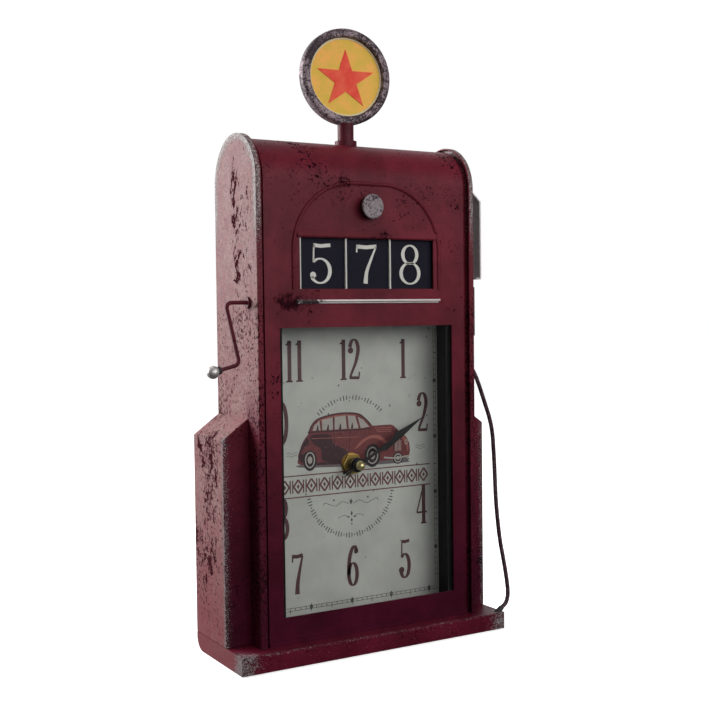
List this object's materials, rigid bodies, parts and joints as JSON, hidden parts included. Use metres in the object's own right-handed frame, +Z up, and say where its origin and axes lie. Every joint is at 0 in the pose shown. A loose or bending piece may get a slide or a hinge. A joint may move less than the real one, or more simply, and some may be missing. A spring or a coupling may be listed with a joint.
{
  "type": "service station advertising clock",
  "caption": "Sheet-metal table clock shaped like an old fuel pump, with a dial behind glass, a card counter, a round globe, a side crank and a hung nozzle.",
  "frame": {"origin": "centre of the felt rest face under the plinth, midway between the side panels and midway along their depth", "axes": "+Z up, towards the globe; the dial and window face -Y; +X is to the right seen from the front"},
  "size_m": [0.2347, 0.077, 0.418],
  "materials": {
    "painted_sheet": "satin, chipped",
    "dark_paint": "satin",
    "worn_silver": "worn",
    "worn_grey": "worn",
    "plain_steel": "plain",
    "brass": "satin",
    "glass": "clear",
    "dial_print": "matte print",
    "board": "fibreboard",
    "card_black": "matte",
    "white_plastic": "matte",
    "black_plastic": "matte",
    "globe_yellow": "satin",
    "globe_cream": "satin",
    "star_red": "satin",
    "rubber": "matte",
    "felt": "felt",
    "copper": "enamelled wire",
    "circuit_green": "solder mask",
    "cell_sleeve": "gloss"
  },
  "bodies": {
    "case": {"base_plinth": "painted_sheet", "base_plate": "dark_paint", "felt_pad": "felt", "plate_screws": "plain_steel", "left_panel": "painted_sheet", "right_panel": "painted_sheet", "panel_screws": "plain_steel", "front_skin": "painted_sheet", "back_cover": "painted_sheet", "back_screws": "plain_steel", "left_pod": "painted_sheet", "right_pod": "painted_sheet", "counter_tray": "dark_paint", "card_hundreds": "card_black", "card_tens": "card_black", "card_units": "card_black", "card_dividers": "white_plastic", "counter_ledge": "worn_silver", "knob_washer": "worn_grey", "globe_ring": "worn_grey", "globe_discs": "globe_yellow", "globe_bezel": "globe_cream", "globe_star": "star_red", "globe_post": "worn_grey", "post_collar": "painted_sheet", "post_nut": "plain_steel", "window_glass": "glass", "dial_box": "dark_paint", "box_clips": "plain_steel", "dial_board": "board", "dial_paper": "dial_print", "movement_case": "black_plastic", "movement_cover": "black_plastic", "rubber_washer": "rubber", "dial_washer": "brass", "dial_nut": "brass", "drive_module": "black_plastic", "coil": "copper", "circuit_board": "circuit_green", "battery": "cell_sleeve", "battery_contacts": "plain_steel", "crank_bush": "painted_sheet", "holster": "worn_silver", "nozzle": "dark_paint", "hose": "rubber", "hose_gland": "dark_paint"},
    "minute_train": {"minute_arbor": "white_plastic", "minute_hand": "dark_paint", "cap_nut": "brass"},
    "hour_train": {"hour_wheel": "white_plastic", "hour_hand": "dark_paint"},
    "setting_train": {"setting_wheel": "white_plastic", "setting_knob": "black_plastic"},
    "crank_handle": {"crank": "painted_sheet", "crank_ball": "worn_silver", "crank_collar": "dark_paint", "crank_retainer": "plain_steel"},
    "arch_knob_set": {"arch_knob": "worn_silver", "knob_nut": "plain_steel"},
    "trigger": {"nozzle_trigger": "plain_steel"}
  },
  "joints": [
    {"name": "minute_turn", "type": "hinge", "parent": "case", "child": "minute_train", "pos_m": [0, -0.0132, 0.1215], "axis": [0, 1, 0], "continuous": true},
    {"name": "hour_turn", "type": "hinge", "parent": "case", "child": "hour_train", "pos_m": [0, -0.0106, 0.1215], "axis": [0, 1, 0], "continuous": true},
    {"name": "setting_turn", "type": "hinge", "parent": "case", "child": "setting_train", "pos_m": [0, 0.0194, 0.1315], "axis": [0, 1, 0], "continuous": true},
    {"name": "crank_turn", "type": "hinge", "parent": "case", "child": "crank_handle", "pos_m": [-0.0835, -0.019, 0.2325], "axis": [1, 0, 0], "continuous": true},
    {"name": "arch_knob_turn", "type": "hinge", "parent": "case", "child": "arch_knob_set", "pos_m": [0, -0.029, 0.295], "axis": [0, -1, 0], "range_deg": [-90, 90]},
    {"name": "trigger_squeeze", "type": "hinge", "parent": "case", "child": "trigger", "pos_m": [0.0912, -0.0112, 0.237], "axis": [1, 0, 0], "range_deg": [0, 8]}
  ],
  "couplings": [
    {"joint": "hour_turn", "follows": "minute_turn", "ratio": 0.083333},
    {"joint": "setting_turn", "follows": "minute_turn", "ratio": -0.33333}
  ]
}
